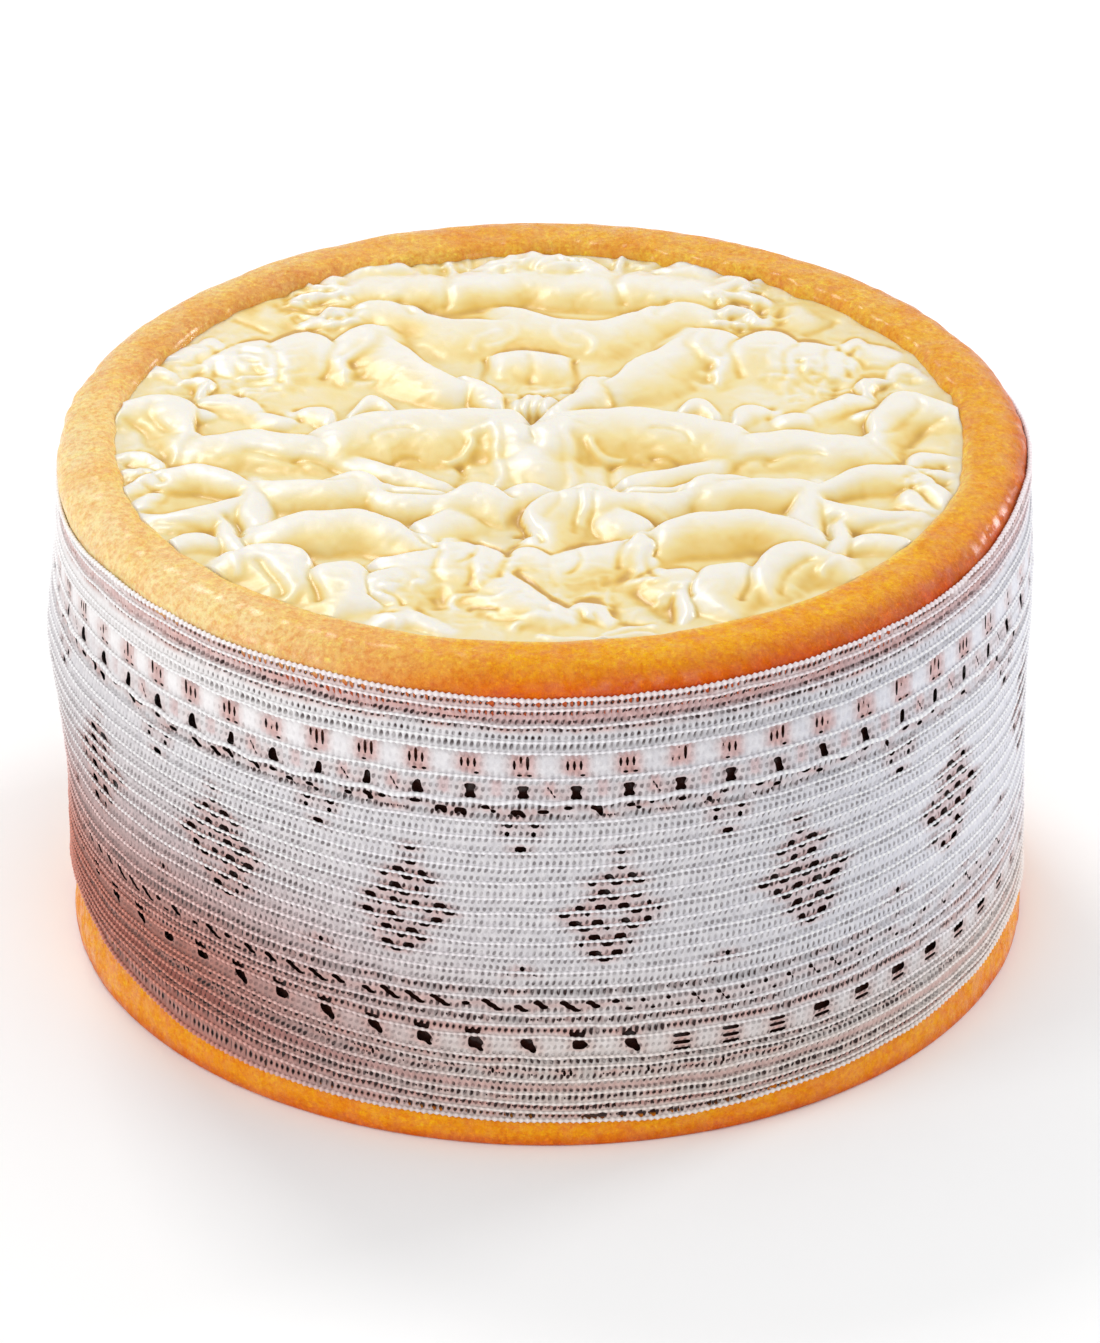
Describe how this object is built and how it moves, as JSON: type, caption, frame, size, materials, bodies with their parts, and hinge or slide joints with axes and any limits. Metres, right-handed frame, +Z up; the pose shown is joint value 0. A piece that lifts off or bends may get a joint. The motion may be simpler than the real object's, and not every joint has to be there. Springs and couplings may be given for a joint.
{
  "type": "cheese wheel",
  "caption": "Soft round cheese with its lid of rind cut away, showing folded creamy paste inside an orange rind, its side wrapped in a white open-work lace band.",
  "frame": {"origin": "middle of the flat foot that the wheel stands on", "axes": "+Z up along the wheel's axis, -Y towards the front, +X to the right"},
  "size_m": [0.1278, 0.1254, 0.0682],
  "materials": {
    "rind": "golden-orange washed rind, waxy and satin, redder at the band and paler at the left",
    "paste": "ivory cream paste, moist and glossy, slightly translucent, yellower in its creases",
    "lace": "matt white cotton lace with a ribbed weave and open eyelets"
  },
  "bodies": {
    "root": {"cheese": "rind", "lace_band": "lace"}
  },
  "joints": []
}
